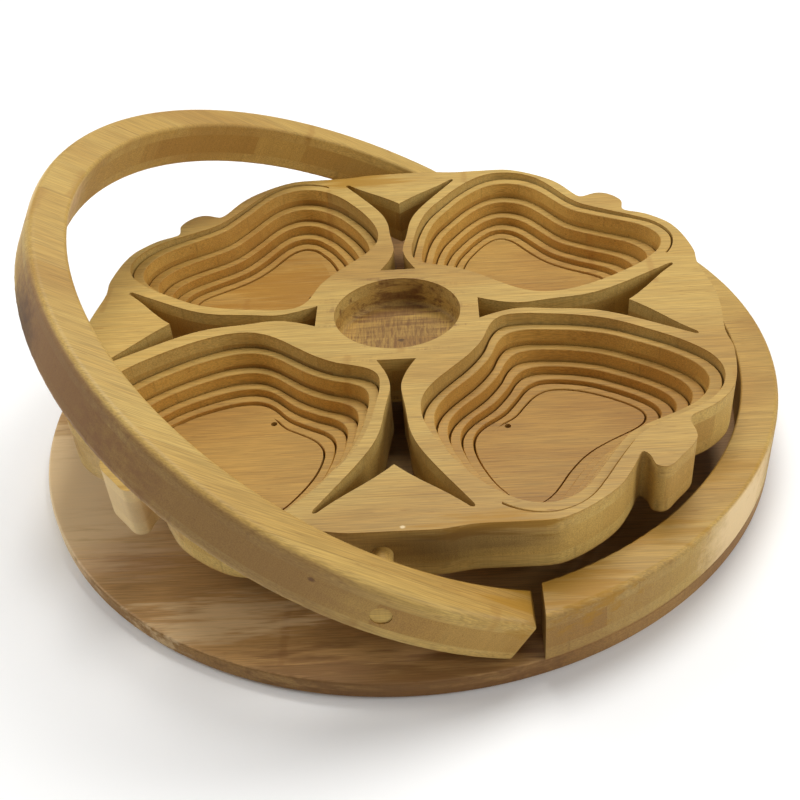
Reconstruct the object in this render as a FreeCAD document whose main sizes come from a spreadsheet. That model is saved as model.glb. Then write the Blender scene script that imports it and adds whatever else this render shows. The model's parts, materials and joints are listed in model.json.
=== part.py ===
import FreeCAD, Part
import math
import os
import Sketcher

# Collapsible bamboo chip and dip server, drawn in its opened-out state.
# Millimetres. Origin at the middle of the base board's underside, +Z up, +X toward the fixed rim,
# and the pivot dowels lie along Y, with the front at -Y.

V = FreeCAD.Vector
X_AXIS, Y_AXIS, Z_AXIS = V(1, 0, 0), V(0, 1, 0), V(0, 0, 1)

SIZES = (
    ("base_radius", 150, "outside radius of the base board, the fixed rim and the handle"),
    ("base_thickness", 8, "thickness of the base board"),
    ("base_top_round", 1, "round on the base board's upper edge"),
    ("base_bottom_round", 2, "round on the base board's lower edge"),
    ("tray_thickness", 20.5, "thickness of the board that the tray is cut from"),
    ("rim_height", 20.5, "height of the fixed rim above the base board"),
    ("ring_width", 14, "radial width of the fixed rim and of the handle"),
    ("rim_round", 2, "round on the fixed rim's upper outer edge"),
    ("rim_inner_round", 0.8, "round on the fixed rim's upper inner edge"),
    ("ring_cut", 46.2, "distance of the saw cut between fixed rim and handle from the middle"),
    ("ring_cut_gap", 0.9, "width of that saw cut"),
    ("handle_thickness", 20.5, "thickness of the handle"),
    ("handle_outer_round", 3, "round on the handle's two outer edges"),
    ("handle_inner_round", 1.5, "round on the handle's two inner edges"),
    ("foot_bevel_length", 5.5, "length of the bevel under each end of the handle"),
    ("foot_bevel_rise", 1.15, "rise of the bevel under each end of the handle"),
    ("end_bevel", 2, "bevel on the upper edge of each end of the handle"),
    ("seat_gap", 0.1, "play between what rests on the base board and the board"),
    ("tray_lift", 22.2, "height that the handle's ends prop the tray up"),
    ("foot_play", 0.65, "play between the handle's standing ends and the base board"),
    ("pivot_offset", -4, "place of the pivot along X"),
    ("dowel_radius", 3.5, "radius of the pivot dowels"),
    ("dowel_play", 0.06, "radial play of a dowel in the handle"),
    ("dowel_fit", 0.02, "radial play of a dowel in its blind hole in the tray"),
    ("dowel_recess", 0.4, "depth of a dowel's end under the handle's outside"),
    ("dowel_grip", 14, "length of a dowel inside the tray's edge"),
    ("dowel_chamfer", 0.6, "chamfer on a dowel's inner end"),
    ("tray_play", 1.3, "play between the tray's farthest edge and the ring around it"),
    ("cup_radius", 25.6, "radius of the dip cup"),
    ("cup_depth", 12.5, "depth of the dip cup"),
    ("cup_round", 2.5, "round between the dip cup's wall and floor"),
    ("kerf", 0.8, "width of the spiral saw cut"),
    ("spiral_turns", 5.79, "turns of the spiral saw cut from its first to its last outline"),
    ("share_turn_1", 0.19, "share of the whole drop that turn 1 makes"),
    ("share_turn_2", 0.51, "share of the whole drop that turn 2 makes"),
    ("share_turn_3", 0.75, "share of the whole drop that turn 3 makes"),
    ("share_turn_4", 0.91, "share of the whole drop that turn 4 makes"),
    ("share_turn_5", 0.99, "share of the whole drop that turn 5 makes"),
    ("stop_hole_radius", 1.25, "radius of the hole where the saw cut ends"),
    ("stop_hole_inset", 2, "distance of that hole's middle from the last of the saw cut"),
)

# The outlines below are free curves through landmarks, in hundredths of tray_reach.
# A quarter of the tray's outside: from the pivot side (0, y) to the stem, the stem, which stands out
# farther at the front than at the back, and from the stem to the rim side (x, 0).
PIVOT_SIDE = (
    (0.0, 97.5), (6.9, 97.5), (13.0, 97.3), (18.4, 96.3), (26.1, 96.0), (34.5, 96.0), (40.5, 95.6),
    (46.3, 93.2), (52.7, 88.8), (58.0, 83.6), (61.4, 78.2),
)
BACK_STEM = (
    (64.0, 72.9), (66.4, 70.2), (69.8, 71.4), (73.4, 72.2), (76.5, 70.8), (79.1, 67.8), (80.3, 64.8),
    (80.0, 61.6), (79.8, 59.2),
)
FRONT_STEM = (
    (63.2, 74.8), (65.0, 72.3), (66.6, 74.4), (67.5, 77.7), (69.4, 78.5), (74.2, 74.8), (78.0, 70.6),
    (79.8, 67.4), (79.8, 63.4), (79.6, 59.8),
)
RIM_SIDE = (
    (84.7, 55.9), (90.0, 51.9), (93.6, 47.6), (95.8, 42.7), (97.2, 37.2), (98.3, 30.0), (98.5, 26.4),
    (98.0, 21.5), (98.4, 15.3), (99.5, 7.7), (100.0, 0.0),
)
BACK_QUARTER = PIVOT_SIDE + BACK_STEM + RIM_SIDE
FRONT_QUARTER = PIVOT_SIDE + FRONT_STEM + RIM_SIDE
# A bowl in its own frame: x out from the middle of the tray, y to the left of that.
# Both loops start where the saw cut enters and run counter-clockwise, landmark by landmark.
BOWL_OUTER = (
    (82.5, -44.0), (88.3, -42.2), (93.6, -38.3), (96.6, -32.9), (97.6, -27.3), (96.8, -21.0),
    (95.3, -14.2), (93.8, -6.9), (92.8, 0.0), (93.8, 6.5), (96.0, 13.4), (98.0, 19.9), (99.0, 26.6),
    (98.0, 33.2), (94.8, 39.0), (90.2, 42.7), (84.3, 44.5), (75.1, 44.6), (64.4, 42.9), (53.7, 40.5),
    (43.7, 35.6), (34.9, 29.5), (28.0, 24.1), (24.4, 18.8), (25.4, 12.9), (28.8, 6.1), (30.5, 0.0),
    (31.3, -6.1), (31.7, -12.6), (32.5, -19.9), (34.3, -26.4), (37.9, -31.8), (44.8, -36.8),
    (55.2, -40.9), (65.9, -43.4), (75.1, -44.6),
)
BOWL_INNER = (
    (66.7, -24.1), (70.9, -24.9), (74.5, -23.8), (76.1, -21.0), (76.1, -17.2), (75.3, -13.0),
    (74.3, -8.8), (73.7, -4.6), (73.5, -0.8), (73.7, 3.4), (74.4, 7.7), (75.5, 12.3), (76.8, 16.9),
    (77.4, 20.7), (76.6, 23.8), (74.0, 25.4), (69.8, 25.5), (65.5, 24.8), (61.3, 23.8), (57.5, 22.5),
    (54.0, 20.8), (51.1, 18.9), (48.9, 16.6), (47.7, 13.8), (47.3, 10.7), (47.6, 7.5), (48.2, 4.2),
    (48.8, 0.9), (48.6, -2.5), (47.8, -6.1), (47.7, -9.7), (48.8, -13.0), (51.3, -16.1),
    (54.7, -18.8), (58.6, -21.1), (62.5, -22.9),
)
# Half of a channel, along and across its own line: the lobe's side, the tip, then the wedge's side.
CHANNEL_LOBE_SIDE = (
    (25.7, 5.9), (30.2, 3.8), (35.3, 2.1), (39.1, 1.6), (44.5, 2.2), (50.6, 3.1), (56.9, 3.8),
    (63.9, 5.7), (71.0, 9.2), (78.3, 13.6), (84.3, 17.4), (88.9, 20.3),
)
CHANNEL_TIP = ((88.9, 20.3), (90.0, 20.3), (89.9, 19.2))
CHANNEL_WEDGE_SIDE = ((89.9, 19.2), (87.6, 16.9), (83.9, 12.7), (80.1, 7.9), (76.3, 3.5), (72.8, 0.0))

BOWLS = (("front_right", -45), ("back_right", 45), ("back_left", 135), ("front_left", 225))
CHANNEL_ANGLES = (0, 90, 180, 270)
TURNS = 5
STEPS_PER_TURN = 60
POINTS_PER_EDGE = 5

doc = FreeCAD.newDocument("chip_and_dip_server")
sheet = doc.addObject("Spreadsheet::Sheet", "Sizes")
for row, (alias, value, meaning) in enumerate(SIZES, start=1):
    sheet.set(f"A{row}", alias)
    sheet.set(f"B{row}", str(value))
    sheet.set(f"C{row}", meaning)
    sheet.setAlias(f"B{row}", alias)

# Worked-out sizes: the tray fills the ring, and the handle tilts until its bevelled ends touch down
FARTHEST = max(math.hypot(x, y) for x, y in FRONT_QUARTER) / 100
FOOT_X = "(ring_cut - ring_cut_gap - pivot_offset)"
FOOT_Z = "(handle_thickness / 2 - foot_bevel_rise)"
FOOT_DROP = "(seat_gap + tray_lift + tray_thickness / 2 - foot_play)"
WORKED_OUT = (
    ("tray_reach", f"(base_radius - ring_width - tray_play) / {FARTHEST}"),
    ("tray_pivot_reach", f"tray_reach * {PIVOT_SIDE[0][1] / 100}"),
    ("handle_tilt", f"asin({FOOT_DROP} / hypot({FOOT_X}; {FOOT_Z})) / 1 deg"
                    f" - atan2({FOOT_Z}; {FOOT_X}) / 1 deg"),
)
for row, (alias, formula) in enumerate(WORKED_OUT, start=len(SIZES) + 1):
    sheet.set(f"A{row}", alias)
    sheet.set(f"B{row}", "=" + formula)
    sheet.setAlias(f"B{row}", alias)
doc.recompute()


def size(alias):
    return float(sheet.get(alias))


def new_body(name):
    body = doc.addObject("PartDesign::Body", name)
    body.Label = name
    return body


def new_sketch(body, name, plane="XY", height=None):
    """A sketch on one of the body's base planes, at an optional height expression."""
    sketch = body.newObject("Sketcher::SketchObject", name)
    base = next(f for f in body.Origin.OriginFeatures if f.Role == plane + "_Plane")
    sketch.AttachmentSupport = [(base, "")]
    sketch.MapMode = "FlatFace"
    if height:
        sketch.setExpression("AttachmentOffset.Base.z", height)
    return sketch


def new_feature(body, kind, name, **expressions):
    feature = body.newObject("PartDesign::" + kind, name)
    for key, text in expressions.items():
        feature.setExpression(key.replace("_dot_", "."), text)
    return feature


def pad(body, sketch, name, length):
    feature = new_feature(body, "Pad", name, Length=length)
    feature.Profile = sketch
    body.Tip = feature
    return feature


def cut_through(body, sketch, name):
    feature = new_feature(body, "Pocket", name)
    feature.Profile = sketch
    feature.Type = "ThroughAll"
    body.Tip = feature
    return feature


def round_edges(body, name, radius, wanted):
    """A fillet on the tip's edges for which wanted(edge) holds."""
    doc.recompute()
    tip = body.Tip
    names = [f"Edge{i}" for i, e in enumerate(tip.Shape.Edges, start=1) if wanted(e)]
    fillet = new_feature(body, "Fillet", name, Radius=radius)
    fillet.Base = (tip, names)
    body.Tip = fillet
    return fillet


def is_arc(edge, radius, height):
    """True for a level circular edge of this radius at this height."""
    curve = edge.Curve
    return (
        isinstance(curve, Part.Circle)
        and abs(curve.Radius - radius) < 1e-6
        and abs(edge.BoundBox.ZMin - height) < 1e-6
        and abs(edge.BoundBox.ZMax - height) < 1e-6
    )


def turned(point, degrees):
    angle = math.radians(degrees)
    c, s = math.cos(angle), math.sin(angle)
    return (point[0] * c - point[1] * s, point[0] * s + point[1] * c)


def scaled(points, scale):
    return [(x * scale, y * scale) for x, y in points]


def add_curve(sketch, points, closed=False):
    """Draws one smooth curve through the points, as several edges that run on into each other."""
    curve = Part.BSplineCurve()
    curve.interpolate([V(x, y, 0) for x, y in points], PeriodicFlag=closed)
    knots = curve.getKnots()
    cuts = knots[:-1:POINTS_PER_EDGE] + knots[-1:]
    for first, last in zip(cuts, cuts[1:]):
        edge = curve.copy()
        edge.segment(first, last)
        sketch.addGeometry(edge, False)


def add_loop(sketch, runs):
    """Draws runs of points end to end: two points as a line, more as a smooth curve."""
    for points in runs:
        if len(points) == 2:
            a, b = points
            sketch.addGeometry(Part.LineSegment(V(*a, 0), V(*b, 0)), False)
        else:
            add_curve(sketch, points)


def on_loop(loop, fraction):
    """The point at a fraction of the way round a loop, on a Catmull-Rom curve."""
    count = len(loop)
    place = (fraction % 1) * count
    i = int(place)
    f = place - i
    p = [loop[(i + k) % count] for k in (-1, 0, 1, 2)]
    return tuple(
        0.5 * (2 * b + (c - a) * f + (2 * a - 5 * b + 4 * c - d) * f ** 2 + (3 * b - a - 3 * c + d) * f ** 3)
        for a, b, c, d in zip(*p)
    )


def kerf_point(turn):
    """The middle of the spiral saw cut, in the bowl's frame, after this many turns."""
    scale = size("tray_reach") / 100
    share = turn / size("spiral_turns")
    outer, inner = on_loop(BOWL_OUTER, turn), on_loop(BOWL_INNER, turn)
    return tuple(scale * ((1 - share) * a + share * b) for a, b in zip(outer, inner))


def kerf_side(start, stop, offset):
    """Points along the saw cut from one turn value to another, shifted inward by offset."""
    count = max(1, round(STEPS_PER_TURN * abs(stop - start)))
    points = []
    for i in range(count + 1):
        turn = start + (stop - start) * i / count
        step = 0.25 / STEPS_PER_TURN
        (ax, ay), (bx, by) = kerf_point(turn - step), kerf_point(turn + step)
        length = math.hypot(bx - ax, by - ay)
        x, y = kerf_point(turn)
        points.append((x - (by - ay) / length * offset, y + (bx - ax) / length * offset))
    return points


# Base board
base = new_body("base_board")
sketch = new_sketch(base, "base_outline")
sketch.addGeometry(Part.Circle(V(0, 0, 0), Z_AXIS, size("base_radius")), False)
sketch.addConstraint(Sketcher.Constraint("Coincident", 0, 3, -1, 1))
sketch.addConstraint(Sketcher.Constraint("Radius", 0, size("base_radius")))
sketch.setExpression("Constraints[1]", "Sizes.base_radius")
pad(base, sketch, "base_pad", "Sizes.base_thickness")
round_edges(base, "base_top_edge", "Sizes.base_top_round",
            lambda e: is_arc(e, size("base_radius"), size("base_thickness")))
round_edges(base, "base_bottom_edge", "Sizes.base_bottom_round",
            lambda e: is_arc(e, size("base_radius"), 0))


def ring_sketch(sketch, centre_x, cut_x, side, centre_expression, cut_expression):
    """A ring sector beyond a straight cut: side 1 keeps what lies to +X of it, -1 to -X."""
    radii = (size("base_radius"), size("base_radius") - size("ring_width"))
    angles = [math.acos((cut_x - centre_x) / r) for r in radii]
    for r, a in zip(radii, angles):
        first, last = (-a, a) if side > 0 else (a, 2 * math.pi - a)
        sketch.addGeometry(Part.ArcOfCircle(Part.Circle(V(centre_x, 0, 0), Z_AXIS, r), first, last), False)
    ends = [[(cut_x, s * r * math.sin(a)) for r, a in zip(radii, angles)] for s in (-side, side)]
    for outer_end, inner_end in ends:
        sketch.addGeometry(Part.LineSegment(V(*outer_end, 0), V(*inner_end, 0)), False)
    for line, end in ((2, 1), (3, 2)):
        sketch.addConstraint(Sketcher.Constraint("Coincident", 0, end, line, 1))
        sketch.addConstraint(Sketcher.Constraint("Coincident", 1, end, line, 2))
        sketch.addConstraint(Sketcher.Constraint("Vertical", line))
    sketch.addConstraint(Sketcher.Constraint("Coincident", 0, 3, 1, 3))
    sketch.addConstraint(Sketcher.Constraint("PointOnObject", 0, 3, -1))
    sized = (
        ("Radius", (0,), radii[0], "Sizes.base_radius"),
        ("Radius", (1,), radii[1], "Sizes.base_radius - Sizes.ring_width"),
        ("DistanceX", (-1, 1, 0, 1), cut_x, cut_expression),
        ("DistanceX", (-1, 1, 0, 2), cut_x, cut_expression),
    )
    if centre_expression:
        sized += (("DistanceX", (-1, 1, 0, 3), centre_x, centre_expression),)
    else:
        sketch.addConstraint(Sketcher.Constraint("PointOnObject", 0, 3, -2))
    for kind, where, value, text in sized:
        index = sketch.addConstraint(Sketcher.Constraint(kind, *where, value))
        sketch.setExpression(f"Constraints[{index}]", text)


# Fixed rim, glued on the base board
rim = new_body("fixed_rim")
sketch = new_sketch(rim, "rim_outline")
ring_sketch(sketch, 0, size("ring_cut"), 1, None, "Sizes.ring_cut")
pad(rim, sketch, "rim_pad", "Sizes.rim_height")
round_edges(rim, "rim_outer_edge", "Sizes.rim_round",
            lambda e: is_arc(e, size("base_radius"), size("rim_height")))
round_edges(rim, "rim_inner_edge", "Sizes.rim_inner_round",
            lambda e: is_arc(e, size("base_radius") - size("ring_width"), size("rim_height")))
rim.setExpression("Placement.Base.z", "Sizes.base_thickness")

# Handle, drawn about its pivot and then tilted until its ends stand on the base board
CLOSED_BOTTOM = "Sizes.base_thickness + Sizes.seat_gap"
TRAY_BOTTOM = CLOSED_BOTTOM + " + Sizes.tray_lift"
PIVOT_HEIGHT = TRAY_BOTTOM + " + Sizes.tray_thickness / 2"
handle = new_body("handle")
sketch = new_sketch(handle, "handle_outline", height="-Sizes.handle_thickness / 2")
handle_cut = size("ring_cut") - size("ring_cut_gap") - size("pivot_offset")
ring_sketch(sketch, -size("pivot_offset"), handle_cut, -1, "-Sizes.pivot_offset",
            "Sizes.ring_cut - Sizes.ring_cut_gap - Sizes.pivot_offset")
pad(handle, sketch, "handle_pad", "Sizes.handle_thickness")
half_handle = size("handle_thickness") / 2
for word, radius, rounding in (
    ("outer", size("base_radius"), "Sizes.handle_outer_round"),
    ("inner", size("base_radius") - size("ring_width"), "Sizes.handle_inner_round"),
):
    round_edges(handle, f"handle_{word}_edges", rounding,
                lambda e: is_arc(e, radius, half_handle) or is_arc(e, radius, -half_handle))
bore = new_feature(handle, "SubtractiveCylinder", "handle_bore",
                   Radius="Sizes.dowel_radius + Sizes.dowel_play", Height="2 * Sizes.base_radius",
                   Placement_dot_Base_dot_y="Sizes.base_radius")
bore.Placement = FreeCAD.Placement(V(0, size("base_radius"), 0), FreeCAD.Rotation(X_AXIS, 90))
handle.Tip = bore
bevel = new_sketch(handle, "foot_bevel", plane="XZ")
bevel_start = (handle_cut - size("foot_bevel_length"), -half_handle)
bevel_end = (handle_cut + size("foot_bevel_length"),
             -half_handle + 2 * size("foot_bevel_rise"))
bevel_corner = (bevel_end[0], -half_handle - size("foot_bevel_rise"))
bevel_back = (bevel_start[0], bevel_corner[1])
add_loop(bevel, [(bevel_start, bevel_end), (bevel_end, bevel_corner), (bevel_corner, bevel_back),
                 (bevel_back, bevel_start)])
top_start = (handle_cut - size("end_bevel"), half_handle)
top_end = (handle_cut + size("end_bevel"), half_handle - 2 * size("end_bevel"))
top_corner = (top_end[0], half_handle)
add_loop(bevel, [(top_start, top_end), (top_end, top_corner), (top_corner, top_start)])
foot = new_feature(handle, "Pocket", "foot_bevels", Length="2 * Sizes.base_radius")
foot.Profile = bevel
foot.SideType = "Symmetric"
handle.Tip = foot
handle.Placement.Rotation = FreeCAD.Rotation(Y_AXIS, size("handle_tilt"))
handle.setExpression("Placement.Rotation.Angle", "Sizes.handle_tilt")
handle.setExpression("Placement.Base.x", "Sizes.pivot_offset")
handle.setExpression("Placement.Base.z", PIVOT_HEIGHT)

# Tray with its apple-shaped outline, bowls, channels, dip cup and dowel holes
scale = size("tray_reach") / 100
back, front = scaled(BACK_QUARTER, scale), scaled(FRONT_QUARTER, scale)
quarters = (
    back,
    [(x, -y) for x, y in reversed(front)],
    [(-x, -y) for x, y in front],
    [(-x, y) for x, y in reversed(back)],
)
outline = []
for points in quarters:
    outline.extend(points[:-1])
tray = new_body("apple_plate")
sketch = new_sketch(tray, "tray_outline")
add_curve(sketch, outline, closed=True)
pad(tray, sketch, "tray_pad", "Sizes.tray_thickness")

half_kerf = size("kerf") / 2
sketch = new_sketch(tray, "bowl_openings", height="Sizes.tray_thickness")
for name, angle in BOWLS:
    rim_side = [turned(p, angle) for p in kerf_side(0, 1, -half_kerf)]
    add_loop(sketch, [rim_side, (rim_side[-1], rim_side[0])])
cut_through(tray, sketch, "bowl_cuts")

sketch = new_sketch(tray, "channel_openings", height="Sizes.tray_thickness")
for angle in CHANNEL_ANGLES:
    half = [scaled(run, scale) for run in (CHANNEL_LOBE_SIDE, CHANNEL_TIP, CHANNEL_WEDGE_SIDE)]
    other_half = [[(x, -y) for x, y in reversed(run)] for run in reversed(half)]
    runs = half + other_half + [(other_half[-1][-1], half[0][0])]
    add_loop(sketch, [[turned(p, angle) for p in run] for run in runs])
cut_through(tray, sketch, "channel_cuts")

sketch = new_sketch(tray, "dip_cup", height="Sizes.tray_thickness")
sketch.addGeometry(Part.Circle(V(0, 0, 0), Z_AXIS, size("cup_radius")), False)
sketch.addConstraint(Sketcher.Constraint("Coincident", 0, 3, -1, 1))
sketch.addConstraint(Sketcher.Constraint("Radius", 0, size("cup_radius")))
sketch.setExpression("Constraints[1]", "Sizes.cup_radius")
cup = new_feature(tray, "Pocket", "dip_cup_cut", Length="Sizes.cup_depth")
cup.Profile = sketch
tray.Tip = cup
round_edges(tray, "dip_cup_round", "Sizes.cup_round",
            lambda e: is_arc(e, size("cup_radius"), size("tray_thickness") - size("cup_depth")))
for side, word in ((-1, "front"), (1, "back")):
    inner = "Sizes.tray_pivot_reach - Sizes.dowel_grip"
    bore = new_feature(tray, "SubtractiveCylinder", word + "_dowel_hole",
                       Radius="Sizes.dowel_radius + Sizes.dowel_fit", Height="2 * Sizes.dowel_grip",
                       Placement_dot_Base_dot_x="Sizes.pivot_offset",
                       Placement_dot_Base_dot_y=f"{side} * ({inner})",
                       Placement_dot_Base_dot_z="Sizes.tray_thickness / 2")
    bore.Placement.Rotation = FreeCAD.Rotation(X_AXIS, -90 * side)
    tray.Tip = bore
tray.setExpression("Placement.Base.z", TRAY_BOTTOM)

# Pivot dowels
dowels = []
for side, word in ((-1, "front"), (1, "back")):
    dowel = new_body(word + "_dowel")
    sketch = new_sketch(dowel, word + "_dowel_section")
    sketch.addGeometry(Part.Circle(V(0, 0, 0), Z_AXIS, size("dowel_radius")), False)
    sketch.addConstraint(Sketcher.Constraint("Coincident", 0, 3, -1, 1))
    sketch.addConstraint(Sketcher.Constraint("Radius", 0, size("dowel_radius")))
    sketch.setExpression("Constraints[1]", "Sizes.dowel_radius")
    start = "Sizes.tray_pivot_reach - Sizes.dowel_grip"
    pad(dowel, sketch, word + "_dowel_pad", f"Sizes.base_radius - Sizes.dowel_recess - ({start})")
    doc.recompute()
    tip = dowel.Tip
    chamfer = new_feature(dowel, "Chamfer", word + "_dowel_end", Size="Sizes.dowel_chamfer")
    chamfer.Base = (tip, [f"Edge{i}" for i, e in enumerate(tip.Shape.Edges, start=1)
                          if is_arc(e, size("dowel_radius"), 0)])
    dowel.Tip = chamfer
    dowel.Placement.Rotation = FreeCAD.Rotation(X_AXIS, -90 * side)
    dowel.setExpression("Placement.Base.x", "Sizes.pivot_offset")
    dowel.setExpression("Placement.Base.y", f"{side} * ({start})")
    dowel.setExpression("Placement.Base.z", PIVOT_HEIGHT)
    dowels.append(dowel)

# The spiral strip of each bowl, one piece per turn, and the bowl's floor.
# Each end of a turn stands half a saw cut back from the next turn's end.
first_turn = kerf_side(0, 1, 0)
strip_length = sum(math.dist(a, b) for a, b in zip(first_turn, first_turn[1:]))
end_step = half_kerf / strip_length
pieces = []
for name, angle in BOWLS:
    for turn in range(1, TURNS + 1):
        piece = new_body(f"{name}_turn_{turn}")
        sketch = new_sketch(piece, f"{name}_strip_{turn}")
        start, stop = turn - 1 + end_step, turn - end_step
        outside = kerf_side(start, stop, half_kerf)
        inside = kerf_side(stop + 1, start + 1, -half_kerf)
        add_loop(sketch, [outside, (outside[-1], inside[0]), inside, (inside[-1], outside[0])])
        pad(piece, sketch, f"{name}_strip_pad_{turn}", "Sizes.tray_thickness")
        piece.Placement.Rotation = FreeCAD.Rotation(Z_AXIS, angle)
        piece.setExpression("Placement.Base.z",
                            f"{CLOSED_BOTTOM} + Sizes.tray_lift * (1 - Sizes.share_turn_{turn})")
        pieces.append(piece)
    floor = new_body(f"{name}_floor")
    sketch = new_sketch(floor, f"{name}_floor_outline")
    edge_side = kerf_side(TURNS, TURNS + 1, half_kerf)
    add_loop(sketch, [edge_side, (edge_side[-1], edge_side[0])])
    pad(floor, sketch, f"{name}_floor_pad", "Sizes.tray_thickness")
    sketch = new_sketch(floor, f"{name}_stop_hole", height="Sizes.tray_thickness")
    hole_x, hole_y = kerf_side(size("spiral_turns"), size("spiral_turns"), size("stop_hole_inset"))[0]
    sketch.addGeometry(Part.Circle(V(hole_x, hole_y, 0), Z_AXIS, size("stop_hole_radius")), False)
    cut_through(floor, sketch, f"{name}_stop_cut")
    floor.Placement.Rotation = FreeCAD.Rotation(Z_AXIS, angle)
    floor.setExpression("Placement.Base.z", CLOSED_BOTTOM)
    pieces.append(floor)

doc.recompute()

for obj in doc.Objects:
    bad = [s for s in obj.State if s in ("Invalid", "Error", "Touched")]
    if bad:
        raise RuntimeError(f"{obj.Name} is {bad}")

os.makedirs("parts", exist_ok=True)
for body in [base, rim, handle, tray] + dowels + pieces:
    shape = body.Shape
    if shape.isNull() or not shape.isValid() or len(shape.Solids) != 1:
        raise RuntimeError(f"{body.Label} has no single valid solid")
    shape.exportStep(f"parts/{body.Label}.step")
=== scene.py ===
import json
import math

import bpy
import numpy as np
from mathutils import Matrix, Vector


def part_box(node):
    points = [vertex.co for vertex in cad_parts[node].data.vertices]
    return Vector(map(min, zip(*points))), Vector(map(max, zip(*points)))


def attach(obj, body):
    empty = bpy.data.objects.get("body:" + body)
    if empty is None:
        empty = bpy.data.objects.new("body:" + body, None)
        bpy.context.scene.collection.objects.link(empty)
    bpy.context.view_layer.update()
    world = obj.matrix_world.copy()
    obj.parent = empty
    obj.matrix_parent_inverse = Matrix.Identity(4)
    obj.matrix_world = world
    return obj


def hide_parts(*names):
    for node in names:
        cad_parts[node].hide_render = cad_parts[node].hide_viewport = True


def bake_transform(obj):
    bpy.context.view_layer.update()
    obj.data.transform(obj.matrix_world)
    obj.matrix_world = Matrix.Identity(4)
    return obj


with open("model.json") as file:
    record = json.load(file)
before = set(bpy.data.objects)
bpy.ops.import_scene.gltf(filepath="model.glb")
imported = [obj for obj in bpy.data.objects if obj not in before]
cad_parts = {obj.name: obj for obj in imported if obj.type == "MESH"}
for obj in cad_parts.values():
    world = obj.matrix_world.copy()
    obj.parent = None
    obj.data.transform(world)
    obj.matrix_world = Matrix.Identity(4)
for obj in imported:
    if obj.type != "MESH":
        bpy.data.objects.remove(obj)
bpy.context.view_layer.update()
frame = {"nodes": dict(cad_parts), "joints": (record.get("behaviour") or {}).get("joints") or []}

# A collapsible bamboo chip and dip server, opened out: a round base board with a fixed rim, an
# arched handle whose ends prop the tray up, and a tray whose four apple-shaped bowls are spiral
# strips that hang down in steps. Metres, in the part's own frame.

MM = 0.001

# Landmarks of the saw cut, in hundredths of the tray's reach along X, in a bowl's own frame:
# x out from the middle of the tray, y to the left of that. The cut runs from the outer loop to
# the inner one.
BOWL_OUTER = np.array((
    (82.5, -44.0), (88.3, -42.2), (93.6, -38.3), (96.6, -32.9), (97.6, -27.3), (96.8, -21.0),
    (95.3, -14.2), (93.8, -6.9), (92.8, 0.0), (93.8, 6.5), (96.0, 13.4), (98.0, 19.9), (99.0, 26.6),
    (98.0, 33.2), (94.8, 39.0), (90.2, 42.7), (84.3, 44.5), (75.1, 44.6), (64.4, 42.9), (53.7, 40.5),
    (43.7, 35.6), (34.9, 29.5), (28.0, 24.1), (24.4, 18.8), (25.4, 12.9), (28.8, 6.1), (30.5, 0.0),
    (31.3, -6.1), (31.7, -12.6), (32.5, -19.9), (34.3, -26.4), (37.9, -31.8), (44.8, -36.8),
    (55.2, -40.9), (65.9, -43.4), (75.1, -44.6),
))
BOWL_INNER = np.array((
    (66.7, -24.1), (70.9, -24.9), (74.5, -23.8), (76.1, -21.0), (76.1, -17.2), (75.3, -13.0),
    (74.3, -8.8), (73.7, -4.6), (73.5, -0.8), (73.7, 3.4), (74.4, 7.7), (75.5, 12.3), (76.8, 16.9),
    (77.4, 20.7), (76.6, 23.8), (74.0, 25.4), (69.8, 25.5), (65.5, 24.8), (61.3, 23.8), (57.5, 22.5),
    (54.0, 20.8), (51.1, 18.9), (48.9, 16.6), (47.7, 13.8), (47.3, 10.7), (47.6, 7.5), (48.2, 4.2),
    (48.8, 0.9), (48.6, -2.5), (47.8, -6.1), (47.7, -9.7), (48.8, -13.0), (51.3, -16.1),
    (54.7, -18.8), (58.6, -21.1), (62.5, -22.9),
))

# Each bowl, and the degrees that its frame is turned from +X
BOWLS = (("front_right", -45), ("back_right", 45), ("back_left", 135), ("front_left", 225))

# The saw cut and the strips that it leaves
TURNS = 5  # of a strip, from the tray to the floor
SPIRAL_TURNS = 5.79  # of the cut, from the outer loop to the inner one
HALF_KERF = 0.4 * MM
DIRECTION_STEP = 1 / 240  # turns either way, for the cut's direction at a point
CLOSING_TURNS = 0.02  # over which a strip's inner side closes up at the floor
START_LAP = 0.002  # turns of a strip inside the tray
START_TUCK = 0.05 * MM  # how far that start lies under the tray's face
STRIP_BEVEL = 0.25 * MM
STEPS_PER_TURN = 150

# The base board's edge
BASE_ROUND_LOW = 2 * MM
BASE_ROUND_HIGH = 1 * MM
BASE_FACE_INSET = 1 * MM  # from a round to where its flat face is closed by one polygon
BASE_SIDES = 720
ROUND_POINTS = 9

SHARP_ANGLE = math.radians(30)

base_low, base_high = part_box("base_board")
rim_low, rim_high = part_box("fixed_rim")
tray_low, tray_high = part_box("apple_plate")
floor_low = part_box("front_right_floor")[0]
TRAY_REACH = tray_high.x
BOARD = tray_high.z - tray_low.z
LIFT = tray_low.z - floor_low.z
DOWEL_THICKNESS = 7 * MM


def joint(name):
    """The part's joint of this name."""
    return next(j for j in frame["joints"] if j["name"] == name)


PIVOT = Vector(joint("handle_tilt")["pos_m"])
HANDLE_TILT = math.radians(-joint("handle_tilt")["range_deg"][0])


# --- Nodes ---------------------------------------------------------------------------------

def set_input(tree, socket, value):
    """Links another socket to this one, or gives it a plain value."""
    if isinstance(value, bpy.types.NodeSocket):
        tree.links.new(value, socket)
    else:
        socket.default_value = value


def add_node(tree, kind, inputs=(), **settings):
    """Adds a node. Settings are its properties, and inputs are values or sockets by socket name."""
    made = tree.nodes.new(kind)
    for key, value in settings.items():
        setattr(made, key, value)
    for key, value in dict(inputs).items():
        set_input(tree, made.inputs[key], value)
    return made


def calc(tree, operation, *values):
    """A Math node's result."""
    return add_node(tree, "ShaderNodeMath", dict(enumerate(values)), operation=operation).outputs[0]


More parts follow.
